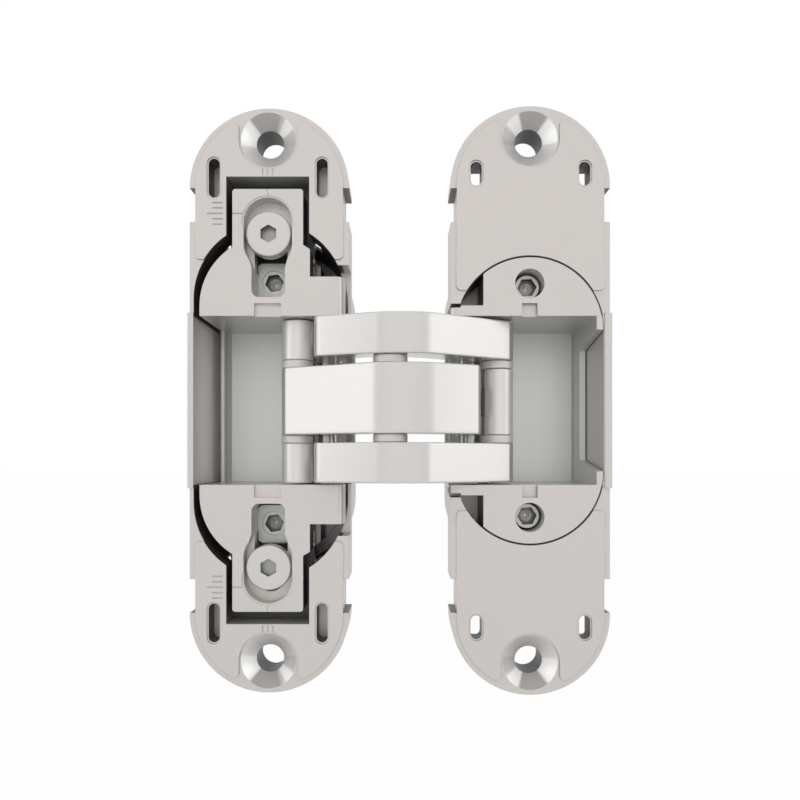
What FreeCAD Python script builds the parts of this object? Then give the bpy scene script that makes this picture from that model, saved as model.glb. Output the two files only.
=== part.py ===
import FreeCAD, Part
import math
import os

# Millimetres, +X to the door half, +Y into the pockets, +Z up.
# Drawn with X = 0 midway between the halves, Y = 0 on the front faces and Z = 0 at mid height,
# then moved so that the origin is the middle of the frame side's screw line, on the plates' backs.

# Housings
FRAME_CX = -25.05
DOOR_CX = 24.8
PLATE_R = 15.2
FRAME_ARC_Z = 40.55
DOOR_ARC_Z = 41.0
PLATE_T = 10.4
DEEP_ARC_Z = 19.3
DEEP_Y = 24.6
STEP_D = 0.4
STEP_INSET = 1.05
STEP_CORNER = 1.0
FRAME_STEP_Z = 26.9
DOOR_STEP_Z = 21.0
NOTCH_Z0 = 34.1
NOTCH_Z1 = 40.55
NOTCH_D = 1.15
STRIP_Z = 16.7
STRIP_D = 0.35

# Screw holes
FRAME_SCREW_X = -25.2
FRAME_SCREW_Z = 49.75
DOOR_PLATE_SCREW_X = 24.75
DOOR_PLATE_SCREW_Z = 50.05
SCREW_R = 2.65
CSK_R = 5.25
CSK_WALL = 5.6

# Frame side opening, windows and their recesses
FRAME_WALL = 0.7
FRAME_OPEN_R = PLATE_R - FRAME_WALL
FRAME_OPEN_CX = -25.0
FRAME_OPEN_Z = 19.5
WINDOW_X0 = -33.2
WINDOW_X1 = -17.4
WINDOW_Z = 42.65
RECESS_SIDE = 1.6
RECESS_Z = 45.3
RECESS_Y = 6.6
FRAME_LAND_Z = 25.85
SIDE_WALL_Y = 7.6
POCKET_SILL_Y = 21.5
FRAME_SLOT_X = (-35.55, -14.95)
FRAME_SLOT_Z = 42.45
FRAME_SLOT_H = 7.4
FRAME_SLOT_Y = 5.3
DOOR_SLOT_X = (14.45, 35.15)
DOOR_SLOT_Z = 43.3
DOOR_SLOT_H = 4.5
DOOR_SLOT_Y = 4.8
SLOT_W = 2.1
SLOT_LIP = 0.3
MARK_W = 0.22
MARK_D = 0.15
MARK_PITCH = 1.03
MARK_Z = 35.6

# Door side opening
DOOR_WALL = 1.05
DOOR_OPEN_R = PLATE_R - DOOR_WALL
DOOR_OPEN_CX = 24.7
DOOR_OPEN_Z = 13.4
DOOR_LAND_Z = 18.5
SHELF_Y = 17.2
SHELF_Z0 = 18.9

# Pockets
POCKET_Z = 16.1
FRAME_POCKET_X = -37.6
DOOR_POCKET_X = 37.4
POCKET_Y = 23.6
FRAME_CORNER = 0.9
DOOR_CORNER = 0.25
BACK_Y = 24.8
FLANGE_Y = 26.0

# Adjustment travel each way
SLIDE_X = 1.0
SLIDE_Z = 2.0
SLIDE_Y = 1.5
PLAY = 0.2

# Frame carrier
CARRIER_R = FRAME_OPEN_R - SLIDE_X - PLAY
CARRIER_ARC_Z = 18.0
CARRIER_NOSE_X = -10.85
CARRIER_NOSE_Z = 23.6
TAB_SIDE = 1.15
TAB_X0 = WINDOW_X0 + TAB_SIDE
TAB_X1 = WINDOW_X1 - TAB_SIDE
TAB_Z = WINDOW_Z - SLIDE_Z - 0.35
TAB_T = RECESS_Y - PLAY
CLAMP_X = -25.3
CLAMP_Z = 32.0
HEAD_R = 4.35
HEAD_SEAT_R = 4.63
HEAD_Y = 0.8
HEAD_T = 2.9
SHANK_R = 2.5
KEY_R = 3.2
KEY_CX = -25.2
KEY_Z0 = 19.7
BLOCK_W = 6.2
BLOCK_Z0 = 20.4
BLOCK_Z1 = 27.9
BLOCK_Y0 = 8.1
BLOCK_Y1 = 13.0
PLATE_SLIDE_Z0 = 27.7
PLATE_BAY_Z = 29.2
PLATE_SLIDE_Y1 = 9.4
SMALL_X = -25.2
SMALL_Z = 24.0
SMALL_R = 2.4
HEX_AF = 3.0
SMALL_HEX_AF = 3.3

# Door carrier
DOOR_CARRIER_R = DOOR_OPEN_R - PLAY
DOOR_CUT_X = 15.8
DOOR_CUT_Z = 18.1
TONGUE_X = 9.25
TONGUE_Z = 17.7
DOOR_SCREW_X = 24.7
DOOR_BORE_X = 24.65
DOOR_SCREW_Z = 22.3
DOOR_BORE_R = 2.8
DOOR_SCREW_Y = 4.2
DOOR_SCREW_R = 2.0

# Linkage pivots as (x, y). A link's own front centre differs a little from the arm's pin.
C = (-1.88, -4.15)
F1 = (-14.97, 9.81)
F2 = (14.27, 10.08)
E1 = (20.22, 6.18)
E2 = (-21.08, 5.73)
LINK_E1 = (19.38, 6.16)
LINK_E2 = (-20.23, 5.85)
END_E1 = (19.15, 6.3)
END_E2 = (-20.3, 5.85)
LA = (-18.41, 13.89)
LB = (17.86, 14.55)
FORK_Z0 = 8.1
FORK_Z1 = 15.6
FORK_LEG_Z = 11.6
MID_Z = 6.5
MID_LEG_Z = 2.7
LINK_Z1 = 15.9
FRAME_LINK_Z = 11.8
DOOR_LINK_Z = 2.4
PIN_END_Z = 18.3
CENTRE_EYE_R = 3.6
END_R = 3.1
FIXED_EYE_R = 3.05
FRAME_KNUCKLE_R = 3.12
DOOR_KNUCKLE_R = 2.8
CENTRE_PIN_R = 2.0
FRONT_PIN_R = 1.0
FIXED_PIN_R = 2.0
LINK_PIN_R = 1.5
LINK_PLAY = 1.12
RUN = 0.05
ARM_EDGE = 0.2


def vec(x, y, z):
    return FreeCAD.Vector(x, y, z)


def box(x0, x1, y0, y1, z0, z1):
    return Part.makeBox(x1 - x0, y1 - y0, z1 - z0, vec(x0, y0, z0))


def sided(s, a, b):
    return (a, b) if s > 0 else (-b, -a)


def cyl_y(x, z, r, y0, y1):
    return Part.makeCylinder(r, y1 - y0, vec(x, y0, z), vec(0, 1, 0))


def cone_y(x, z, r0, r1, y0, y1):
    return Part.makeCone(r0, r1, y1 - y0, vec(x, y0, z), vec(0, 1, 0))


def cyl_z(point, r, z0, z1):
    return Part.makeCylinder(r, z1 - z0, vec(point[0], point[1], z0), vec(0, 0, 1))


def stadium(cx, r, arc_z, y0, y1):
    body = box(cx - r, cx + r, y0, y1, -arc_z, arc_z)
    body = body.fuse(cyl_y(cx, arc_z, r, y0, y1))
    return body.fuse(cyl_y(cx, -arc_z, r, y0, y1)).removeSplitter()


def prism_xy(points, z0, z1):
    ring = [vec(x, y, z0) for x, y in points]
    return Part.Face(Part.makePolygon(ring + [ring[0]])).extrude(vec(0, 0, z1 - z0))


def prism_xz(points, y0, y1):
    ring = [vec(x, y0, z) for x, z in points]
    return Part.Face(Part.makePolygon(ring + [ring[0]])).extrude(vec(0, y1 - y0, 0))


def join(shapes):
    return shapes[0].multiFuse(shapes[1:]).removeSplitter()


def cut(body, tools):
    return body.cut(tools[0].multiFuse(tools[1:]) if len(tools) > 1 else tools[0])


def along(edge, axis):
    ends = edge.Vertexes
    if len(ends) != 2:
        return False
    d = ends[1].Point.sub(ends[0].Point)
    return d.Length > 1e-6 and abs(abs(d.dot(axis)) - d.Length) < 1e-6


def round_at(body, x, y, r):
    near = [e for e in body.Edges if along(e, vec(0, 0, 1)) and
            math.hypot(e.CenterOfMass.x - x, e.CenterOfMass.y - y) < 0.01]
    return body.makeFillet(r, near)


def round_y_edges(body, x, z, r):
    near = [e for e in body.Edges if along(e, vec(0, 1, 0)) and
            math.hypot(e.CenterOfMass.x - x, e.CenterOfMass.z - z) < 0.05]
    return body.makeFillet(r, near)


def raised_land(cx, hole, arc_z, s, end_z):
    """The raised part of one end's front face: inset from the outline, cut out round the countersink."""
    r = PLATE_R - STEP_INSET
    z0, z1 = sided(s, end_z, arc_z)
    land = box(cx - r, cx + r, 0, STEP_D, z0, z1)
    land = land.fuse(cyl_y(cx, s * arc_z, r, 0, STEP_D)).removeSplitter()
    hole_x, hole_z = hole
    z0, z1 = sided(s, hole_z, arc_z + PLATE_R)
    land = cut(land, [cyl_y(hole_x, s * hole_z, CSK_WALL, -1, 1),
                      box(hole_x - CSK_WALL, hole_x + CSK_WALL, -1, 1, z0, z1)])
    corners = [(cx - r, s * end_z), (cx + r, s * end_z)]
    for x in (hole_x - CSK_WALL, hole_x + CSK_WALL):
        corners.append((x, s * (arc_z + math.sqrt(r * r - (x - cx) ** 2))))
    for x, z in corners:
        land = round_y_edges(land, x, z, STEP_CORNER)
    return land


def housing_blank(cx, hole, side, arc_z, step_z):
    parts = [stadium(cx, PLATE_R, arc_z, STEP_D, PLATE_T), stadium(cx, PLATE_R, DEEP_ARC_Z, PLATE_T - 1, DEEP_Y)]
    edge = cx + side * PLATE_R
    x0, x1 = sorted((edge - side, edge + side * STRIP_D))
    parts.append(box(x0, x1, 0, DEEP_Y, -STRIP_Z, STRIP_Z))
    for s in (1, -1):
        parts.append(raised_land(cx, hole, arc_z, s, step_z))
    body = join(parts)
    hole_x, hole_z = hole
    cuts = []
    for s in (1, -1):
        cuts.append(cyl_y(hole_x, s * hole_z, SCREW_R, -1, PLATE_T + 1))
        cuts.append(cone_y(hole_x, s * hole_z, CSK_R, SCREW_R, STEP_D, STEP_D + CSK_R - SCREW_R))
        z0, z1 = sided(s, NOTCH_Z0, NOTCH_Z1)
        cuts.append(box(cx - PLATE_R - 1, cx - PLATE_R + NOTCH_D, -1, PLATE_T + 1, z0, z1))
        cuts.append(box(cx + PLATE_R - NOTCH_D, cx + PLATE_R + 1, -1, PLATE_T + 1, z0, z1))
    return cut(body, cuts)


def lipped_slots(places, z, height, y1):
    r = SLOT_W / 2
    a = height / 2 - r
    parts = []
    for x in places:
        for mid in (z, -z):
            parts.append(box(x - r, x + r, -1, y1, mid - a, mid + a))
            parts.append(box(x - r - SLOT_LIP, x + r + SLOT_LIP, -1, SLOT_LIP, mid - a, mid + a))
            for end in (mid - a, mid + a):
                parts.append(cyl_y(x, end, r, -1, y1))
                parts.append(cyl_y(x, end, r + SLOT_LIP, -1, SLOT_LIP))
    return parts


def frame_marks():
    """Generic graduations beside and above each window."""
    cuts = []
    for s in (1, -1):
        for i in range(-2, 3):
            z = s * MARK_Z + i * MARK_PITCH
            x0 = -36.8 if i == 0 else -35.8
            cuts.append(box(x0, -33.9, -1, MARK_D, z - MARK_W / 2, z + MARK_W / 2))
        for i in (-1, 0, 1):
            x = TAB_X0 / 2 + TAB_X1 / 2 + i * 0.95
            z0, z1 = sided(s, WINDOW_Z + 0.3, WINDOW_Z + (1.4 if i else 1.8))
            cuts.append(box(x - MARK_W / 2, x + MARK_W / 2, -1, MARK_D, z0, z1))
    return cuts


def frame_housing():
    body = housing_blank(FRAME_CX, (FRAME_SCREW_X, FRAME_SCREW_Z), -1, FRAME_ARC_Z, FRAME_STEP_Z)
    gap_x = FRAME_OPEN_CX + FRAME_OPEN_R - 3
    cuts = [stadium(FRAME_OPEN_CX, FRAME_OPEN_R, FRAME_OPEN_Z, -1, DEEP_Y + 1)]
    cuts.append(box(WINDOW_X0, WINDOW_X1, -1, PLATE_T + 1, -WINDOW_Z, WINDOW_Z))
    cuts.append(box(WINDOW_X0 - RECESS_SIDE, WINDOW_X1 + RECESS_SIDE, RECESS_Y, PLATE_T + 1, -RECESS_Z, RECESS_Z))
    cuts.append(box(gap_x, 0, -1, SIDE_WALL_Y, -FRAME_LAND_Z, FRAME_LAND_Z))
    cuts.append(box(gap_x, 0, -1, POCKET_SILL_Y, -POCKET_Z, POCKET_Z))
    slots = lipped_slots(FRAME_SLOT_X, FRAME_SLOT_Z, FRAME_SLOT_H, FRAME_SLOT_Y)
    return cut(body, cuts + slots + frame_marks())


def door_housing():
    body = housing_blank(DOOR_CX, (DOOR_PLATE_SCREW_X, DOOR_PLATE_SCREW_Z), 1, DOOR_ARC_Z, DOOR_STEP_Z)
    gap_x = DOOR_OPEN_CX - DOOR_OPEN_R + 3
    cuts = [stadium(DOOR_OPEN_CX, DOOR_OPEN_R, DOOR_OPEN_Z, -1, DEEP_Y + 1)]
    cuts.append(box(0, gap_x, -1, SIDE_WALL_Y, -DOOR_LAND_Z, DOOR_LAND_Z))
    cuts.append(box(0, gap_x, -1, POCKET_SILL_Y, -POCKET_Z, POCKET_Z))
    cuts += lipped_slots(DOOR_SLOT_X, DOOR_SLOT_Z, DOOR_SLOT_H, DOOR_SLOT_Y + 1)
    for x in DOOR_SLOT_X:
        for z in (DOOR_SLOT_Z, -DOOR_SLOT_Z):
            h = DOOR_SLOT_H / 2 + 1
            cuts.append(box(x - SLOT_W, x + SLOT_W, DOOR_SLOT_Y, PLATE_T + 1, z - h, z + h))
    body = cut(body, cuts)
    shelves = []
    for s in (1, -1):
        z0, z1 = sided(s, SHELF_Z0, DOOR_OPEN_Z + DOOR_OPEN_R + 1)
        shelf = box(DOOR_CUT_X + 0.4, 2 * DOOR_OPEN_CX - DOOR_CUT_X, SHELF_Y, DEEP_Y, z0, z1)
        shelves.append(shelf.common(stadium(DOOR_OPEN_CX, DOOR_OPEN_R + 0.5, DOOR_OPEN_Z, 0, DEEP_Y)))
    body = join([body] + shelves)
    return cut(body, [cyl_y(DOOR_SCREW_X, s * DOOR_SCREW_Z, DOOR_SCREW_R + RUN, 0, DEEP_Y + 1) for s in (1, -1)])


def pocket(x_wall, x_open, corner):
    """The arms' pocket: open to the gap, with its far floor corner filled at 45 degrees."""
    side = 1 if x_wall > 0 else -1
    x0, x1 = sorted((x_wall, x_open))
    room = box(x0, x1, -1, POCKET_Y, -POCKET_Z, POCKET_Z)
    fill = [(x_wall, POCKET_Y - corner), (x_wall, POCKET_Y), (x_wall - side * corner, POCKET_Y)]
    return room.cut(prism_xy(fill, -POCKET_Z, POCKET_Z))


def keyhole(s):
    """The clamp screw's seat: a recess that lets the head travel, its slot below, and the guide block's slot."""
    deep = HEAD_Y + HEAD_T + 0.05
    z_far = CLAMP_Z + SLIDE_Z + 0.1
    z_near = CLAMP_Z - SLIDE_Z - 0.1
    z0, z1 = sided(s, z_near, z_far)
    cuts = [box(CLAMP_X - HEAD_SEAT_R, CLAMP_X + HEAD_SEAT_R, -1, deep, z0, z1)]
    cuts.append(cyl_y(CLAMP_X, s * z_far, HEAD_SEAT_R, -1, deep))
    cuts.append(cyl_y(CLAMP_X, s * z_near, HEAD_SEAT_R, -1, deep))
    cuts.append(cyl_y(CLAMP_X, s * z_far, HEAD_SEAT_R + 0.3, -1, 0.25))
    cuts.append(box(CLAMP_X - SHANK_R - 0.3, CLAMP_X + SHANK_R + 0.3, 0, TAB_T + 1, z0, z1))
    cuts.append(cyl_y(CLAMP_X, s * z_far, SHANK_R + 0.3, 0, TAB_T + 1))
    neck = [(CLAMP_X - HEAD_SEAT_R, s * z_near), (CLAMP_X + HEAD_SEAT_R, s * z_near),
            (KEY_CX + KEY_R, s * (z_near - 4.4)), (KEY_CX - KEY_R, s * (z_near - 4.4))]
    cuts.append(prism_xz(neck, -1, deep))
    z0, z1 = sided(s, KEY_Z0, z_near)
    slot = box(KEY_CX - KEY_R, KEY_CX + KEY_R, -1, BLOCK_Y0 + 1, z0, z1)
    for side in (1, -1):
        slot = round_y_edges(slot, KEY_CX + side * KEY_R, s * KEY_Z0, 1.4)
    cuts.append(slot)
    z0, z1 = sided(s, BLOCK_Z0 - SLIDE_Z - PLAY, TAB_Z)
    half = BLOCK_W / 2 + 0.25
    cuts.append(box(CLAMP_X - half - 0.1, CLAMP_X + half - 0.1, BLOCK_Y0 - 0.1, BLOCK_Y1 + PLAY, z0, z1))
    return cuts


def frame_carrier():
    parts = [stadium(FRAME_OPEN_CX, CARRIER_R, CARRIER_ARC_Z, 0, BACK_Y)]
    parts.append(stadium(FRAME_OPEN_CX, PLATE_R - 0.1, DEEP_ARC_Z, DEEP_Y + 0.1, FLANGE_Y))
    for s in (1, -1):
        z0, z1 = sided(s, 20.0, TAB_Z)
        tab = box(TAB_X0, TAB_X1, 0, TAB_T, z0, z1)
        for x in (TAB_X0, TAB_X1):
            tab = round_y_edges(tab, x, s * TAB_Z, 0.6)
        parts.append(tab)
        shoulder = [(TAB_X1, 28.9), (TAB_X1 + 1.3, 27.6), (TAB_X1 + 1.3, 22.0), (TAB_X1, 22.0)]
        parts.append(prism_xz([(x, s * z) for x, z in shoulder], 0, TAB_T))
        shoulder = [(TAB_X0, 29.2), (TAB_X0 - 0.9, 28.1), (TAB_X0 - 1.4, 27.2), (TAB_X0, 26.0)]
        parts.append(prism_xz([(x, s * z) for x, z in shoulder], 0, TAB_T))
        z0, z1 = sided(s, POCKET_Z, CARRIER_NOSE_Z)
        nose = box(-18.0, CARRIER_NOSE_X, 0, SIDE_WALL_Y - PLAY, z0, z1)
        parts.append(round_at(nose, CARRIER_NOSE_X, 0, 1.5))
    body = join(parts)
    cuts = [pocket(FRAME_POCKET_X, -5.0, FRAME_CORNER)]
    cuts.append(box(-41.0, FRAME_POCKET_X + 0.1, -1, 19.8, -POCKET_Z, POCKET_Z))
    for s in (1, -1):
        z0, z1 = sided(s, CARRIER_NOSE_Z, TAB_Z)
        cuts.append(box(TAB_X1 + 1.3, -5.0, -1, 12.0, z0, z1))
        cuts.append(box(-16.3, -5.0, 11.9, DEEP_Y - 2.0, z0, z1))
        z0, z1 = sided(s, PLATE_SLIDE_Z0 - SLIDE_Z - PLAY, TAB_Z - 7)
        cuts.append(box(-41.0, -5.0, TAB_T, PLATE_SLIDE_Y1 + 0.4, z0, z1))
        z0, z1 = sided(s, POCKET_Z - 1, 18.5)
        cuts.append(box(-27.9, -22.8, -1, 1.1, z0, z1))
        z = s * MARK_Z
        cuts.append(box(TAB_X0 - 1, CLAMP_X - 4.5, -1, MARK_D, z - MARK_W / 2, z + MARK_W / 2))
        z0, z1 = sided(s, TAB_Z - 1.8, TAB_Z + 1)
        x = (TAB_X0 + TAB_X1) / 2
        cuts.append(box(x - MARK_W / 2, x + MARK_W / 2, -1, MARK_D, z0, z1))
        cuts += keyhole(s)
    for point, r in ((F1, FIXED_PIN_R), (LA, LINK_PIN_R)):
        cuts.append(cyl_z(point, r, -PIN_END_Z, PIN_END_Z))
    return cut(body, cuts)


def clamp_plate(s):
    z0, z1 = sided(s, PLATE_SLIDE_Z0, RECESS_Z - 0.7)
    side = RECESS_SIDE - SLIDE_X - PLAY
    plate = box(WINDOW_X0 - side, WINDOW_X1 + side, RECESS_Y + 0.1, PLATE_SLIDE_Y1, z0, z1)
    mid = CLAMP_X - 0.1
    z0, z1 = sided(s, PLATE_SLIDE_Z0 - 1, PLATE_BAY_Z)
    plate = plate.cut(box(mid - BLOCK_W / 2 - 0.3, mid + BLOCK_W / 2 + 0.3, 0, PLATE_SLIDE_Y1 + 1, z0, z1))
    z0, z1 = sided(s, BLOCK_Z0, BLOCK_Z1)
    block = box(mid - BLOCK_W / 2, mid + BLOCK_W / 2, BLOCK_Y0, BLOCK_Y1, z0, z1)
    for x in (mid - BLOCK_W / 2, mid + BLOCK_W / 2):
        block = round_y_edges(block, x, s * BLOCK_Z0, 1.2)
        block = round_y_edges(block, x, s * BLOCK_Z1, 1.0)
    z0, z1 = sided(s, BLOCK_Z1 - 2.0, PLATE_BAY_Z + 2.0)
    foot = box(mid - BLOCK_W / 2 + 0.3, mid + BLOCK_W / 2 - 0.3, BLOCK_Y1 - 2.0, BLOCK_Y1, z0, z1)
    z0, z1 = sided(s, PLATE_BAY_Z, PLATE_BAY_Z + 2.0)
    riser = box(mid - BLOCK_W / 2 + 0.3, mid + BLOCK_W / 2 - 0.3, PLATE_SLIDE_Y1 - 0.5, BLOCK_Y1, z0, z1)
    return cut(join([plate, block, foot, riser]), [cyl_y(CLAMP_X, s * CLAMP_Z, SHANK_R + RUN, 0, 20),
                                      cyl_y(SMALL_X, s * SMALL_Z, SMALL_R + RUN, 0, 11.6)])


def hex_socket(x, z, af, turn, y0, y1):
    r = af / math.sqrt(3)
    corners = [math.radians(60 * i + turn) for i in range(6)]
    return prism_xz([(x + r * math.cos(a), z + r * math.sin(a)) for a in corners], y0, y1)


def clamp_screw(s):
    z = s * CLAMP_Z
    body = cyl_y(CLAMP_X, z, HEAD_R, HEAD_Y, HEAD_Y + HEAD_T)
    rim = [e for e in body.Edges if abs(e.CenterOfMass.y - HEAD_Y) < 0.01]
    body = body.makeFillet(0.4, rim)
    body = body.fuse(cyl_y(CLAMP_X, z, SHANK_R, HEAD_Y + HEAD_T - 0.5, PLATE_SLIDE_Y1)).removeSplitter()
    return cut(body, [hex_socket(CLAMP_X, z, HEX_AF, 30, HEAD_Y - 0.1, HEAD_Y + 1.8)])


def depth_screw(s):
    body = cyl_y(SMALL_X, s * SMALL_Z, SMALL_R, BLOCK_Y0 + 0.2, 11.5)
    return cut(body, [hex_socket(SMALL_X, s * SMALL_Z, SMALL_HEX_AF, 8, BLOCK_Y0, 10.2),
                      cone_y(SMALL_X, s * SMALL_Z, 1.2, 0.2, 10.2, 10.9)])


def door_carrier():
    parts = [stadium(DOOR_OPEN_CX, DOOR_CARRIER_R, DOOR_OPEN_Z, 0, BACK_Y)]
    low_y = SIDE_WALL_Y - SLIDE_Y - PLAY
    r = 1.5
    for s in (1, -1):
        z0, z1 = sided(s, POCKET_Z, TONGUE_Z)
        tongue = box(TONGUE_X, 18.0, 0, low_y, z0, z1)
        parts.append(round_at(tongue, TONGUE_X, 0, r))
    body = join(parts)
    cuts = [pocket(DOOR_POCKET_X, 5.0, DOOR_CORNER)]
    profile = [(-13.5, -1.0), (13.5, -1.0), (13.5, 0.3), (11.4, 16.0), (-11.4, 16.0), (-13.5, 0.3)]
    ring = [vec(DOOR_POCKET_X - 0.1, y, z) for z, y in profile]
    cuts.append(Part.Face(Part.makePolygon(ring + [ring[0]])).extrude(vec(3.5, 0, 0)))
    for s in (1, -1):
        z0, z1 = sided(s, DOOR_CUT_Z, DOOR_OPEN_Z + DOOR_OPEN_R + 1)
        cuts.append(box(5.0, DOOR_CUT_X, -1, 12.0, z0, z1))
        z0, z1 = sided(s, SHELF_Z0 - PLAY, DOOR_OPEN_Z + DOOR_OPEN_R + 1)
        cuts.append(box(5.0, 42.0, SHELF_Y - 2 * SLIDE_Y, BACK_Y + 1, z0, z1))
        cuts.append(cyl_y(DOOR_BORE_X, s * DOOR_SCREW_Z, DOOR_BORE_R, -1, 12.6))
        cuts.append(cyl_y(DOOR_SCREW_X, s * DOOR_SCREW_Z, DOOR_SCREW_R + RUN, 10, 16))
        z0, z1 = sided(s, POCKET_Z - 1, 18.5)
        cuts.append(box(23.2, 26.1, -1, 1.1, z0, z1))
    for point, r in ((F2, FIXED_PIN_R), (LB, LINK_PIN_R)):
        cuts.append(cyl_z(point, r, -PIN_END_Z, PIN_END_Z))
    return cut(body, cuts)


def door_screw(s):
    z = s * DOOR_SCREW_Z
    body = cyl_y(DOOR_SCREW_X, z, 2.35, DOOR_SCREW_Y, 12.5)
    body = body.fuse(cyl_y(DOOR_SCREW_X, z, DOOR_SCREW_R, 12.0, DEEP_Y - 0.6)).removeSplitter()
    face = DOOR_SCREW_Y
    return cut(body, [hex_socket(DOOR_SCREW_X, z, SMALL_HEX_AF, 4, face - 0.5, face + 1.8),
                      cone_y(DOOR_SCREW_X, z, 1.2, 0.2, face + 1.8, face + 2.5)])


def soft_profile(outline, z0, z1):
    """A prism whose listed corners are rounded: each point is (x, y, radius)."""
    body = prism_xy([(x, y) for x, y, r in outline], z0, z1)
    for x, y, r in outline:
        if r > 0:
            body = round_at(body, x, y, r)
    return body


def soft_rims(body, z0, z1, r):
    rims = [e for e in body.Edges if abs(e.BoundBox.ZMin - e.BoundBox.ZMax) < 1e-4 and
            min(abs(e.BoundBox.ZMin - z0), abs(e.BoundBox.ZMin - z1)) < 1e-4]
    return body.makeFillet(r, rims)


def fork_arm(s):
    z0, z1 = sided(s, FORK_Z0, FORK_Z1)
    outline = [(-16.3, 8.0, 0), (-16.3, -3.1, 2.0), (-3.0, -8.45, 7.0), (4.2, -8.45, 8.0), (21.7, 3.4, 0.9),
               (19.6, 9.0, 0), (17.2, 8.85, 0), (1.6, -0.9, 0), (-5.0, -0.9, 0), (-10.9, 1.6, 0), (-12.1, 8.5, 0)]
    body = join([soft_profile(outline, z0, z1), cyl_z(C, CENTRE_EYE_R, z0, z1), cyl_z(END_E1, END_R, z0, z1),
                 cyl_z(F1, FIXED_EYE_R, z0, z1)])
    body = soft_rims(body, z0, z1, ARM_EDGE)
    c0, c1 = sided(s, FORK_LEG_Z, FORK_Z1 + 1)
    cuts = [box(-20.0, -9.0, 2.0, 16.0, c0, c1)]
    for point, r in ((C, CENTRE_PIN_R), (E1, FRONT_PIN_R), (F1, FIXED_PIN_R + RUN)):
        cuts.append(cyl_z(point, r, z0 - 1, z1 + 1))
    return cut(body, cuts)


def middle_arm():
    z0 = -MID_Z
    z1 = MID_Z
    outline = [(-22.7, 2.4, 0.9), (-3.7, -8.4, 9.0), (3.5, -8.4, 13.0), (15.1, -2.5, 1.5),
               (15.1, 8.0, 0), (11.4, 8.8, 0), (11.2, 3.6, 0), (9.9, 1.6, 0), (1.8, -0.9, 0), (-5.0, -0.9, 0),
               (-19.0, 8.5, 0), (-21.5, 8.3, 0)]
    body = join([soft_profile(outline, z0, z1), cyl_z(C, CENTRE_EYE_R, z0, z1), cyl_z(END_E2, END_R, z0, z1),
                 cyl_z(F2, FIXED_EYE_R, z0, z1)])
    body = soft_rims(body, z0, z1, ARM_EDGE)
    cuts = [box(9.0, 20.0, 2.0, 16.0, -MID_LEG_Z, MID_LEG_Z)]
    for point, r in ((C, CENTRE_PIN_R + RUN), (E2, FRONT_PIN_R), (F2, FIXED_PIN_R + RUN)):
        cuts.append(cyl_z(point, r, z0 - 1, z1 + 1))
    return cut(body, cuts)


def link_bar(a, b, half, z0, z1):
    n = math.hypot(b[0] - a[0], b[1] - a[1])
    ox = (a[1] - b[1]) / n * half
    oy = (b[0] - a[0]) / n * half
    pts = [(a[0] + ox, a[1] + oy), (b[0] + ox, b[1] + oy), (b[0] - ox, b[1] - oy), (a[0] - ox, a[1] - oy)]
    return prism_xy(pts, z0, z1)


def frame_link(s):
    z0, z1 = sided(s, FORK_Z0, LINK_Z1)
    t0, t1 = sided(s, FRAME_LINK_Z, LINK_Z1)
    knuckle = soft_rims(cyl_z(LINK_E2, FRAME_KNUCKLE_R, z0, z1), z0, z1, 0.3)
    body = join([knuckle, link_bar(LINK_E2, LA, 1.9, t0, t1), cyl_z(LA, 2.9, t0, t1)])
    return cut(body, [cyl_z(LINK_E2, FRONT_PIN_R + LINK_PLAY, z0 - 1, z1 + 1),
                      cyl_z(LA, LINK_PIN_R + RUN, z0 - 1, z1 + 1)])


def door_link():
    z1 = MID_Z - 0.05
    knuckle = soft_rims(cyl_z(LINK_E1, DOOR_KNUCKLE_R, -z1, z1), -z1, z1, 0.25)
    body = join([knuckle, link_bar(LINK_E1, LB, 2.2, -DOOR_LINK_Z, DOOR_LINK_Z),
                 cyl_z(LB, 2.8, -DOOR_LINK_Z, DOOR_LINK_Z)])
    return cut(body, [cyl_z(LINK_E1, FRONT_PIN_R + LINK_PLAY, -z1 - 1, z1 + 1),
                      cyl_z(LB, LINK_PIN_R + RUN, -z1 - 1, z1 + 1)])


def washer(centre, r, bore_at, bore, s):
    z0, z1 = sided(s, MID_Z + RUN, FORK_Z0 - RUN)
    ring = soft_rims(cyl_z(centre, r, z0, z1), z0, z1, 0.2)
    return ring.cut(cyl_z(bore_at, bore, z0 - 1, z1 + 1))


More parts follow.
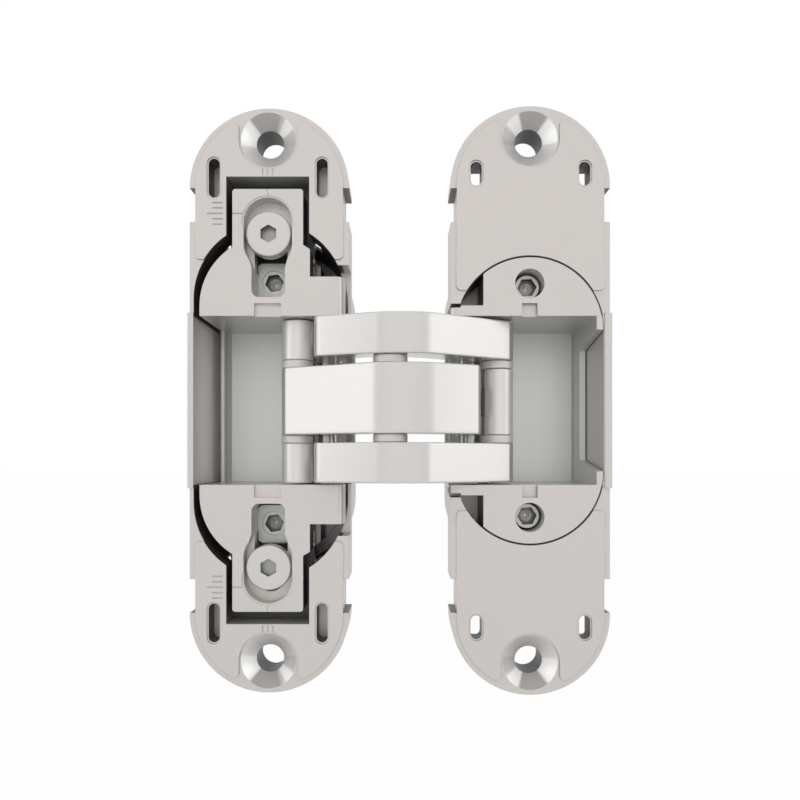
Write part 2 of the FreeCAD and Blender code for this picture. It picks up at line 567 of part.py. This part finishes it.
def build():
    front_z = FORK_Z1 - 0.1
    pieces = {
        "frame_housing": frame_housing(),
        "door_housing": door_housing(),
        "frame_carrier": frame_carrier(),
        "door_carrier": door_carrier(),
        "fork_arm_upper": fork_arm(1),
        "fork_arm_lower": fork_arm(-1),
        "middle_arm": middle_arm(),
        "frame_link_upper": frame_link(1),
        "frame_link_lower": frame_link(-1),
        "door_link": door_link(),
        "centre_pin": cyl_z(C, CENTRE_PIN_R, -front_z, front_z),
        "frame_front_pin": cyl_z(E2, FRONT_PIN_R, -LINK_Z1 + 0.2, LINK_Z1 - 0.2),
        "door_front_pin": cyl_z(E1, FRONT_PIN_R, -front_z, front_z),
        "frame_fixed_pin": cyl_z(F1, FIXED_PIN_R, -PIN_END_Z, PIN_END_Z),
        "door_fixed_pin": cyl_z(F2, FIXED_PIN_R, -PIN_END_Z, PIN_END_Z),
        "frame_link_pin": cyl_z(LA, LINK_PIN_R, -PIN_END_Z, PIN_END_Z),
        "door_link_pin": cyl_z(LB, LINK_PIN_R, -PIN_END_Z, PIN_END_Z),
    }
    for s, word in ((1, "upper"), (-1, "lower")):
        pieces["clamp_plate_" + word] = clamp_plate(s)
        pieces["clamp_screw_" + word] = clamp_screw(s)
        pieces["depth_screw_" + word] = depth_screw(s)
        pieces["door_screw_" + word] = door_screw(s)
        pieces["centre_washer_" + word] = washer(C, 3.2, C, CENTRE_PIN_R, s)
        pieces["frame_washer_" + word] = washer(END_E2, END_R, E2, FRONT_PIN_R, s)
        pieces["door_washer_" + word] = washer(END_E1, END_R, E1, FRONT_PIN_R, s)
    return pieces


os.makedirs("parts", exist_ok=True)
for name, shape in build().items():
    shape.translate(vec(-FRAME_SCREW_X, -PLATE_T, 0))
    shape.exportStep("parts/" + name + ".step")
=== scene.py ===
import math

import bpy
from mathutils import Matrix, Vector

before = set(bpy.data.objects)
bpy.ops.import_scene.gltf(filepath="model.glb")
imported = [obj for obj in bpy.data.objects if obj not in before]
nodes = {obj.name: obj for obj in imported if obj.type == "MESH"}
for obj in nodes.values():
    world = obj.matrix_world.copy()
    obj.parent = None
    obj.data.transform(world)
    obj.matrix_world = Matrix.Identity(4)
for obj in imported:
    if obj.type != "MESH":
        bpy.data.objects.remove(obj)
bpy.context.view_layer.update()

MM = 0.001
# The photograph's camera: straight on, level, with its axis below the middle of the picture.
CAM_X = 25.4 * MM
CAM_Y = -175.4 * MM
CAM_Z = -11.07 * MM
LENS = 38.97
SHIFT_X = -0.0019
SHIFT_Y = 0.0731
# The floor lies below the held hinge.
FLOOR_Z = -95.0 * MM
FLOOR_HALF = 6.0
CENTRE = Vector((25.2 * MM, -5.0 * MM, 0.0))

scene = bpy.context.scene


def new_material(name):
    mat = bpy.data.materials.new(name)
    mat.use_nodes = True
    tree = mat.node_tree
    tree.nodes.clear()
    out = tree.nodes.new("ShaderNodeOutputMaterial")
    return mat, tree, out


def mapped(tree, source, low, high, to_low, to_high):
    ramp = tree.nodes.new("ShaderNodeMapRange")
    ramp.inputs["From Min"].default_value = low
    ramp.inputs["From Max"].default_value = high
    ramp.inputs["To Min"].default_value = to_low
    ramp.inputs["To Max"].default_value = to_high
    tree.links.new(source, ramp.inputs["Value"])
    return ramp.outputs["Result"]


def math_node(tree, kind, first, second):
    node = tree.nodes.new("ShaderNodeMath")
    node.operation = kind
    for socket, value in zip(node.inputs, (first, second)):
        if isinstance(value, (int, float)):
            socket.default_value = value
        else:
            tree.links.new(value, socket)
    return node.outputs[0]


def mixed(tree, factor, first, second):
    node = tree.nodes.new("ShaderNodeMixRGB")
    tree.links.new(factor, node.inputs["Fac"])
    for socket, value in ((node.inputs["Color1"], first), (node.inputs["Color2"], second)):
        if isinstance(value, tuple):
            socket.default_value = (*value, 1.0)
        else:
            tree.links.new(value, socket)
    return node.outputs["Color"]


def parts_of(tree, coord):
    """A node's own X, Y and height above mid level, and how squarely its surface faces the viewer."""
    split = tree.nodes.new("ShaderNodeSeparateXYZ")
    tree.links.new(coord.outputs["Normal"], split.inputs["Vector"])
    place = tree.nodes.new("ShaderNodeSeparateXYZ")
    tree.links.new(coord.outputs["Object"], place.inputs["Vector"])
    return {
        "x": place.outputs["X"],
        "y": place.outputs["Y"],
        "z": math_node(tree, "ABSOLUTE", place.outputs["Z"], 0.0),
        "facing": math_node(tree, "ABSOLUTE", split.outputs["Y"], 0.0),
    }


def above_level(tree, source, level, soft=0.0001):
    return mapped(tree, source, level - soft, level + soft, 0.0, 1.0)


def below_level(tree, source, level, soft=0.0001):
    return mapped(tree, source, level - soft, level + soft, 1.0, 0.0)


def both(tree, *masks):
    product = masks[0]
    for mask in masks[1:]:
        product = math_node(tree, "MULTIPLY", product, mask)
    return product


def distance(tree, first, second):
    squares = [math_node(tree, "MULTIPLY", side, side) for side in (first, second)]
    return math_node(tree, "SQRT", math_node(tree, "ADD", squares[0], squares[1]), 0.0)


def walls(tree, at):
    return mapped(tree, at["facing"], 0.25, 0.60, 1.0, 0.0)


def within_stadium(tree, at, centre_x, arc_z, radius, soft=0.0001):
    past = math_node(tree, "MAXIMUM", math_node(tree, "SUBTRACT", at["z"], arc_z), 0.0)
    across = math_node(tree, "SUBTRACT", at["x"], centre_x)
    return below_level(tree, distance(tree, past, across), radius, soft)


def housing_walls(centre_x, arc_z, deep_arc_z, inner_r, pocket_z):
    """Walls inside a plate's outline, or inside the deep body's shell behind it, but no outer sides."""

    def mask(tree, at):
        in_plate = both(tree, within_stadium(tree, at, centre_x, arc_z, inner_r), below_level(tree, at["y"], 0.0))
        in_shell = within_stadium(tree, at, centre_x, deep_arc_z, inner_r + 0.001)
        inside = math_node(tree, "MAXIMUM", in_plate, in_shell)
        return both(tree, walls(tree, at), inside, above_level(tree, at["z"], pocket_z))

    return mask


def gap_lips(centre_x, arc_z, inner_r, outer_r, land_z):
    """Painted shade on the lips on both sides of the narrow gap round the door insert, widening the gap's dark line, on
    the front faces only.
    """

    def mask(tree, at):
        inside = within_stadium(tree, at, centre_x, arc_z, outer_r, 0.00003)
        core = within_stadium(tree, at, centre_x, arc_z, inner_r, 0.00003)
        ring = math_node(tree, "MAXIMUM", math_node(tree, "SUBTRACT", inside, core), 0.0)
        open_side = math_node(tree, "MAXIMUM", above_level(tree, at["z"], land_z), above_level(tree, at["x"], centre_x))
        return both(tree, ring, open_side, below_level(tree, at["y"], -0.0092), above_level(tree, at["z"], 0.0162))

    return mask


def notch_ends(centre_x, notch_x, notch_z):
    """The end walls of the side notches under the plate's round ends, which lie in shade."""

    def mask(tree, at):
        across = math_node(tree, "ABSOLUTE", math_node(tree, "SUBTRACT", at["x"], centre_x), 0.0)
        level = both(tree, above_level(tree, at["z"], notch_z - 0.00005, 0.00003), below_level(tree, at["z"], notch_z + 0.00005, 0.00003))
        return both(tree, walls(tree, at), level, above_level(tree, across, notch_x))

    return mask


def slot_walls(centre_x, near, far, low_z, high_z):
    def mask(tree, at):
        across = math_node(tree, "ABSOLUTE", math_node(tree, "SUBTRACT", at["x"], centre_x), 0.0)
        band = both(tree, above_level(tree, across, near), below_level(tree, across, far))
        height = both(tree, above_level(tree, at["z"], low_z), below_level(tree, at["z"], high_z))
        return both(tree, walls(tree, at), band, height, below_level(tree, at["y"], 0.0))

    return mask


def window_ends(centre_x, half, low_z, high_z):
    """The end walls of the tab windows, painted in a lighter shade than their sides because they catch more light."""

    def mask(tree, at):
        across = math_node(tree, "ABSOLUTE", math_node(tree, "SUBTRACT", at["x"], centre_x), 0.0)
        ends = both(tree, above_level(tree, at["z"], low_z), below_level(tree, at["z"], high_z))
        return both(tree, walls(tree, at), ends, below_level(tree, across, half))

    return mask


def outer_walls(centre_x, near, far, pocket_z, back_y):
    """A carrier's walls in the gap round it: not its light keyholes, its nose or its back rim."""

    def mask(tree, at):
        across = math_node(tree, "ABSOLUTE", math_node(tree, "SUBTRACT", at["x"], centre_x), 0.0)
        band = both(tree, above_level(tree, across, near), below_level(tree, across, far))
        inside = both(tree, above_level(tree, at["z"], pocket_z), below_level(tree, at["y"], back_y))
        return both(tree, walls(tree, at), band, inside)

    return mask


def walls_off_bores(centre_x, centre_z, radius, pocket_z):
    """Walls of an insert above its pocket, leaving its screw bores light."""

    def mask(tree, at):
        bore = round_axis(tree, at, centre_x, centre_z, radius)
        off = math_node(tree, "SUBTRACT", 1.0, bore)
        return both(tree, walls(tree, at), off, above_level(tree, at["z"], pocket_z))

    return mask


def pocket_floor(centre_x, pocket_z, depth_y, back_y):
    def mask(tree, at):
        out = mapped(tree, at["facing"], 0.6, 0.8, 0.0, 1.0)
        deep = both(tree, above_level(tree, at["y"], depth_y, 0.002), below_level(tree, at["y"], back_y))
        inside = within_stadium(tree, at, centre_x, 0.030, 0.0146)
        return both(tree, out, deep, inside, below_level(tree, at["z"], pocket_z))

    return mask


def pocket_side(centre_x, pocket_z, depth_y, back_y):
    def mask(tree, at):
        low = below_level(tree, at["z"], pocket_z + 0.0003)
        deep = both(tree, above_level(tree, at["y"], depth_y, 0.004), below_level(tree, at["y"], back_y))
        inside = within_stadium(tree, at, centre_x, 0.030, 0.0149)
        return both(tree, walls(tree, at), low, deep, inside)

    return mask


def beyond_height(level):
    def mask(tree, at):
        return above_level(tree, at["z"], level)

    return mask


def round_axis(tree, at, centre_x, centre_z, radius):
    across = math_node(tree, "SUBTRACT", at["x"], centre_x)
    along = math_node(tree, "SUBTRACT", at["z"], centre_z)
    return below_level(tree, distance(tree, across, along), radius)


def socket_floor(centre_x, centre_z, radius, depth_y):
    def mask(tree, at):
        return both(tree, round_axis(tree, at, centre_x, centre_z, radius), above_level(tree, at["y"], depth_y))

    return mask


def socket_walls(centre_x, centre_z, radius):
    def mask(tree, at):
        return both(tree, round_axis(tree, at, centre_x, centre_z, radius), walls(tree, at))

    return mask


def painted_cone_fan(centre_x, centre_z, radius, angle, half_width):
    """One fan of painted reflection on a countersink's cone, light or dark as its tone is given. The angle counts from
    X towards the end.
    """
    way = (math.cos(math.radians(angle)), math.sin(math.radians(angle)))
    low = math.cos(math.radians(half_width + 4.0))
    high = math.cos(math.radians(half_width - 4.0))

    def mask(tree, at):
        across = math_node(tree, "SUBTRACT", at["x"], centre_x)
        along = math_node(tree, "SUBTRACT", at["z"], centre_z)
        reach = distance(tree, across, along)
        sides = [math_node(tree, "MULTIPLY", side, share) for side, share in zip((across, along), way)]
        fan_cosine = math_node(tree, "DIVIDE", math_node(tree, "ADD", sides[0], sides[1]), reach)
        steep = mapped(tree, at["facing"], 0.50, 0.62, 0.0, 1.0)
        flat = mapped(tree, at["facing"], 0.85, 0.95, 1.0, 0.0)
        return both(tree, below_level(tree, reach, radius), steep, flat, mapped(tree, fan_cosine, low, high, 0.0, 1.0))

    return mask


# Painted shade: a dark brown and a near black, laid where shade falls on walls in gaps, windows, slots, notches and
# bores, and on the lips of the gap round the door insert.
PAINTED_SHADE_BROWN = (0.16, 0.145, 0.135)
PAINTED_SHADE_BLACK = (0.085, 0.078, 0.082)
# Pocket tones: the floors a greener tint lightened as painted light, the side walls a greener, slightly darker tint,
# and the frame housing's side walls much lighter as painted light.
POCKET_FLOOR_TINT_AND_LIGHT = (0.70, 0.712, 0.69)
SIDE_TONE = (0.585, 0.605, 0.59)
FRAME_WALL_PAINTED_LIGHT = (0.92, 0.89, 0.865)
# Painted reflections on the countersink cones: light fans and a dark fan.
FAN_PAINTED_HIGHLIGHT = (0.95, 0.95, 0.94)
FAN_SMALL_HIGHLIGHT = (0.97, 0.97, 0.96)
FAN_INNER_PAINTED_LIGHT = (0.76, 0.74, 0.73)
FAN_PAINTED_SHADE = (0.42, 0.405, 0.40)


def metal(name, color, spread, metallic, rough, edge, grain=2600.0, strength=0.06, coat=0.0, zones=()):
    """Cast, painted or turned metal: cloudy tint, uneven gloss, fine grain and softened edges, with the given zones of
    tint, painted light, painted shade and painted reflection laid over its colour.
    """
    mat, tree, out = new_material(name)
    add = tree.nodes.new
    link = tree.links.new
    bsdf = add("ShaderNodeBsdfPrincipled")
    bsdf.inputs["Metallic"].default_value = metallic
    bsdf.inputs["Coat Weight"].default_value = coat
    bsdf.inputs["Coat Roughness"].default_value = 0.18
    coord = add("ShaderNodeTexCoord")
    cloud = add("ShaderNodeTexNoise")
    cloud.inputs["Scale"].default_value = 90.0
    cloud.inputs["Detail"].default_value = 3.0
    link(coord.outputs["Object"], cloud.inputs["Vector"])
    low = tuple(c * (1.0 - spread) for c in color)
    high = tuple(min(1.0, c * (1.0 + spread)) for c in color)
    tint = mixed(tree, cloud.outputs["Fac"], low, high)
    at = parts_of(tree, coord) if zones else None
    # Where painted shade lies, the metal also loses its metallic look and most of its specular gloss, so that the
    # painted shade stays dark.
    painted_shade_mask = None
    for make_mask, shade in zones:
        mask = make_mask(tree, at)
        tint = mixed(tree, mask, tint, shade)
        if shade in (PAINTED_SHADE_BROWN, PAINTED_SHADE_BLACK):
            painted_shade_mask = mask if painted_shade_mask is None else math_node(tree, "MAXIMUM", painted_shade_mask, mask)
    if painted_shade_mask is not None:
        link(mapped(tree, painted_shade_mask, 0.0, 1.0, metallic, 0.0), bsdf.inputs["Metallic"])
        link(mapped(tree, painted_shade_mask, 0.0, 1.0, 0.5, 0.12), bsdf.inputs["Specular IOR Level"])
    link(tint, bsdf.inputs["Base Color"])
    link(mapped(tree, cloud.outputs["Fac"], 0.0, 1.0, rough - 0.04, rough + 0.04), bsdf.inputs["Roughness"])
    normal = None
    if edge > 0.0:
        soft = add("ShaderNodeBevel")
        soft.samples = 6
        soft.inputs["Radius"].default_value = edge
        normal = soft.outputs["Normal"]
    if strength > 0.0:
        speck = add("ShaderNodeTexNoise")
        speck.inputs["Scale"].default_value = grain
        speck.inputs["Detail"].default_value = 4.0
        link(coord.outputs["Object"], speck.inputs["Vector"])
        bump = add("ShaderNodeBump")
        bump.inputs["Strength"].default_value = strength
        bump.inputs["Distance"].default_value = 0.00002
        link(speck.outputs["Fac"], bump.inputs["Height"])
        if normal:
            link(normal, bump.inputs["Normal"])
        normal = bump.outputs["Normal"]
    if normal:
        link(normal, bsdf.inputs["Normal"])
    link(bsdf.outputs["BSDF"], out.inputs["Surface"])
    return mat


POCKET_HALF = 0.0161
POCKET_DEEP = 0.002


def countersink_painted_shading(centre_x, centre_z, outer_side):
    """Painted shade on the bore's walls, then painted reflections on the countersink's cone: a light fan on its inner
    half, a dark fan towards the plate's end, a light one towards its outer side and a narrow light one opposite.
    """
    wide = 163.0 if outer_side < 0 else 19.0
    narrow, narrow_half = (38.0, 13.0) if outer_side < 0 else (133.0, 17.0)
    dark, dark_half = (98.0, 36.0) if outer_side < 0 else (83.0, 32.0)
    return [
        (socket_walls(centre_x, centre_z, 0.0029), PAINTED_SHADE_BLACK),
        (painted_cone_fan(centre_x, centre_z, 0.0056, -90.0, 78.0), FAN_INNER_PAINTED_LIGHT),
        (painted_cone_fan(centre_x, centre_z, 0.0056, dark, dark_half), FAN_PAINTED_SHADE),
        (painted_cone_fan(centre_x, centre_z, 0.0056, wide, 29.0), FAN_PAINTED_HIGHLIGHT),
        (painted_cone_fan(centre_x, centre_z, 0.0056, narrow, narrow_half), FAN_SMALL_HIGHLIGHT),
    ]


FRAME_X = 0.00015
DOOR_X = 0.05
BACK = 0.0137


# The pocket floors and side walls: a greener tint, with painted light on the floors and, where the given tone is light,
# on the walls.
def pocket_zones(centre_x, tone, depth_y):
    return [
        (pocket_floor(centre_x, POCKET_HALF, POCKET_DEEP, BACK), POCKET_FLOOR_TINT_AND_LIGHT),
        (pocket_side(centre_x, POCKET_HALF, depth_y, BACK), tone),
    ]


# Painted shade on the housings' walls inside their windows, gaps and shells, on the notch end walls and on the door
# housing's slot walls.
frame_painted_shade = (housing_walls(FRAME_X, 0.04055, 0.0193, 0.0139, POCKET_HALF), PAINTED_SHADE_BLACK)
door_painted_shade = (housing_walls(DOOR_X, 0.041, 0.0193, 0.0139, POCKET_HALF), PAINTED_SHADE_BROWN)
lips_painted_shade = (gap_lips(0.0499, 0.0134, 0.01387, 0.01426, 0.0189), PAINTED_SHADE_BROWN)
frame_notch_shade = (notch_ends(FRAME_X, 0.0138, 0.04055), PAINTED_SHADE_BROWN)
door_notch_shade = (notch_ends(DOOR_X, 0.0138, 0.04055), PAINTED_SHADE_BROWN)
slots_painted_shade = (slot_walls(DOOR_X, 0.0080, 0.0128, 0.0395, 0.0470), PAINTED_SHADE_BLACK)
# Painted shade, lighter than on the window sides.
window_end_shade = (window_ends(FRAME_X, 0.0081, 0.0412, 0.0460), (0.40, 0.41, 0.40))
frame_zones = pocket_zones(FRAME_X, FRAME_WALL_PAINTED_LIGHT, -0.006) + [frame_painted_shade, frame_notch_shade, window_end_shade] + countersink_painted_shading(0.0, 0.04975, -1)
door_zones = pocket_zones(DOOR_X, SIDE_TONE, POCKET_DEEP) + [door_painted_shade, door_notch_shade, slots_painted_shade, lips_painted_shade] + countersink_painted_shading(0.04995, 0.05005, 1)
# Painted shade on the carriers' walls in the gap round them, and on the door insert's walls apart from its screw bores.
gap_painted_shade = (outer_walls(0.0, 0.0049, 0.0134, 0.0165, BACK), PAINTED_SHADE_BLACK)
insert_painted_shade = (walls_off_bores(0.04985, 0.0223, 0.0033, 0.0165), PAINTED_SHADE_BROWN)
carrier_zones = pocket_zones(FRAME_X, SIDE_TONE, POCKET_DEEP) + [gap_painted_shade]
door_carrier_zones = pocket_zones(DOOR_X, SIDE_TONE, POCKET_DEEP) + [insert_painted_shade, lips_painted_shade]

CAST = (0.64, 0.61, 0.59)
frame_cast = metal("frame_cast", CAST, 0.02, 0.45, 0.36, 0.00018, zones=frame_zones)
door_cast = metal("door_cast", CAST, 0.02, 0.45, 0.36, 0.00018, zones=door_zones)
carrier = metal("carrier_grey", CAST, 0.02, 0.45, 0.34, 0.00018, zones=carrier_zones)
door_insert = metal("door_insert", CAST, 0.02, 0.45, 0.34, 0.00018, zones=door_carrier_zones)
arm = metal("arm_pale", (0.66, 0.645, 0.63), 0.01, 0.55, 0.24, 0.0005, strength=0.0, coat=0.1)
link_grey = metal("link_grey", (0.76, 0.75, 0.735), 0.01, 0.35, 0.33, 0.0, strength=0.0)
pin = metal("pin_satin", (0.48, 0.475, 0.47), 0.03, 0.85, 0.20, 0.0, strength=0.0)
# Painted shade in the clamp screw's hex socket: mid grey on its floor, near black on its walls.
clamp_socket_shade = [
    (socket_floor(-0.0001, 0.032, 0.0019, -0.0093), (0.40, 0.40, 0.39)),
    (socket_walls(-0.0001, 0.032, 0.0019), (0.12, 0.12, 0.115)),
]
screw_head = metal("screw_satin", (0.64, 0.625, 0.61), 0.02, 0.55, 0.32, 0.0001, zones=clamp_socket_shade)
washer = metal("washer_pale", (0.70, 0.685, 0.67), 0.02, 0.2, 0.40, 0.0, strength=0.0)
# Painted shade: the clamp plate near black beyond 28.4 mm from mid level, deep in the windows; the guide block nearer
# the middle keeps its colour.
slide_painted_shade = [
    (beyond_height(0.0284), (0.08, 0.08, 0.08)),
]
slide = metal("slide_zinc", (0.66, 0.69, 0.665), 0.03, 0.35, 0.36, 0.0001, zones=slide_painted_shade)
SMALL = (0.66, 0.68, 0.66)


def screw_socket_shading(centre_x, centre_z, face_y):
    """Painted shade in the hex socket, dark on its floor and near black on its walls, with a painted highlight on the
    drilled cone in its floor.
    """
    return [
        (socket_floor(centre_x, centre_z, 0.0021, face_y + 0.0006), (0.17, 0.17, 0.17)),
        (socket_walls(centre_x, centre_z, 0.0021), (0.05, 0.05, 0.05)),
        (socket_floor(centre_x, centre_z, 0.00118, face_y + 0.0018), (0.90, 0.90, 0.89)),
    ]


depth_zones = screw_socket_shading(0.0, 0.024, -0.0021)
door_screw_zones = screw_socket_shading(0.0499, 0.0223, -0.0062)
depth_screw = metal("depth_screw", SMALL, 0.03, 0.35, 0.34, 0.0, strength=0.0, zones=depth_zones)
door_screw = metal("door_screw", SMALL, 0.03, 0.35, 0.34, 0.0, strength=0.0, zones=door_screw_zones)

STARTS = [
    ("frame_housing", frame_cast),
    ("door_housing", door_cast),
    ("frame_carrier", carrier),
    ("door_carrier", door_insert),
    ("middle_arm", arm),
    ("fork_arm", arm),
    ("door_link_pin", pin),
    ("frame_link_pin", pin),
    ("door_link", link_grey),
    ("frame_link", link_grey),
    ("clamp_plate", slide),
    ("clamp_screw", screw_head),
    ("depth_screw", depth_screw),
    ("door_screw", door_screw),
    ("centre_washer", washer),
    ("frame_washer", washer),
    ("door_washer", washer),
    ("", pin),
]
for name, node in nodes.items():
    node.data.materials.clear()
    node.data.materials.append(next(look for start, look in STARTS if name.startswith(start)))


def white_stage_material(name, share):
    """A white floor: mostly a flat white to the camera and to mirrors, the rest lit, so shadows show."""
    mat, tree, out = new_material(name)
    add = tree.nodes.new
    link = tree.links.new
    matt = add("ShaderNodeBsdfDiffuse")
    matt.inputs["Color"].default_value = (0.9, 0.9, 0.9, 1.0)
    glow = add("ShaderNodeEmission")
    glow.inputs["Color"].default_value = (1.0, 1.0, 1.0, 1.0)
    path = add("ShaderNodeLightPath")
    seen = math_node(tree, "MAXIMUM", path.outputs["Is Camera Ray"], path.outputs["Is Glossy Ray"])
    seen = math_node(tree, "MAXIMUM", seen, path.outputs["Is Transmission Ray"])
    flat_share = math_node(tree, "MULTIPLY", seen, share)
    mix = add("ShaderNodeMixShader")
    link(flat_share, mix.inputs["Fac"])
    link(matt.outputs["BSDF"], mix.inputs[1])
    link(glow.outputs["Emission"], mix.inputs[2])
    link(mix.outputs["Shader"], out.inputs["Surface"])
    return mat


def plane(name, half, z, mat):
    mesh = bpy.data.meshes.new(name)
    mesh.from_pydata([(-half, -half, z), (half, -half, z), (half, half, z), (-half, half, z)], [], [(0, 1, 2, 3)])
    obj = bpy.data.objects.new(name, mesh)
    scene.collection.objects.link(obj)
    mesh.materials.append(mat)
    return obj


plane("floor", FLOOR_HALF, FLOOR_Z, white_stage_material("floor_white", 0.985))

world = bpy.data.worlds.new("studio")
scene.world = world
world.use_nodes = True
wt = world.node_tree
wt.nodes.clear()
w_out = wt.nodes.new("ShaderNodeOutputWorld")
w_light = wt.nodes.new("ShaderNodeBackground")
w_light.inputs["Color"].default_value = (1.0, 1.0, 1.0, 1.0)
w_light.inputs["Strength"].default_value = 0.20
w_seen = wt.nodes.new("ShaderNodeBackground")
w_seen.inputs["Color"].default_value = (1.0, 1.0, 1.0, 1.0)
w_seen.inputs["Strength"].default_value = 1.0
w_path = wt.nodes.new("ShaderNodeLightPath")
w_camera_or_glossy = math_node(wt, "MAXIMUM", w_path.outputs["Is Camera Ray"], w_path.outputs["Is Glossy Ray"])
w_any = math_node(wt, "MAXIMUM", w_camera_or_glossy, w_path.outputs["Is Transmission Ray"])
w_mix = wt.nodes.new("ShaderNodeMixShader")
wt.links.new(w_any, w_mix.inputs["Fac"])
wt.links.new(w_light.outputs["Background"], w_mix.inputs[1])
wt.links.new(w_seen.outputs["Background"], w_mix.inputs[2])
wt.links.new(w_mix.outputs["Shader"], w_out.inputs["Surface"])


def softbox(name, place, size_x, size_y, radiance, tint, mirrored=True):
    """An area lamp aimed at the hinge, its power set from the radiance that it shows."""
    data = bpy.data.lights.new(name, "AREA")
    data.shape = "RECTANGLE"
    data.size = size_x
    data.size_y = size_y
    data.energy = math.pi * size_x * size_y * radiance
    data.color = tint
    obj = bpy.data.objects.new(name, data)
    obj.location = place
    obj.rotation_euler = (CENTRE - Vector(place)).to_track_quat("-Z", "Y").to_euler()
    obj.visible_glossy = mirrored
    scene.collection.objects.link(obj)
    return obj


WARM = (1.0, 0.965, 0.94)
COOL = (0.985, 1.0, 0.97)
softbox("front", (0.025, -0.72, -0.01), 1.00, 1.00, 1.55, WARM, mirrored=False)
softbox("side_left", (-0.77, -0.41, 0.04), 0.50, 0.90, 0.86, COOL)
softbox("side_right", (0.86, -0.33, 0.04), 0.48, 0.90, 0.86, COOL)
softbox("above", (0.0, -0.45, 0.80), 0.80, 0.50, 0.9, COOL, mirrored=False)

camera_data = bpy.data.cameras.new("camera")
camera_data.lens = LENS
camera_data.sensor_width = 36.0
camera_data.shift_x = SHIFT_X
camera_data.shift_y = SHIFT_Y
camera_data.clip_start = 0.01
camera_data.clip_end = 20.0
camera = bpy.data.objects.new("camera", camera_data)
camera.location = (CAM_X, CAM_Y, CAM_Z)
camera.rotation_euler = (math.radians(90.0), 0.0, 0.0)
scene.collection.objects.link(camera)
scene.camera = camera

scene.view_settings.view_transform = "Standard"
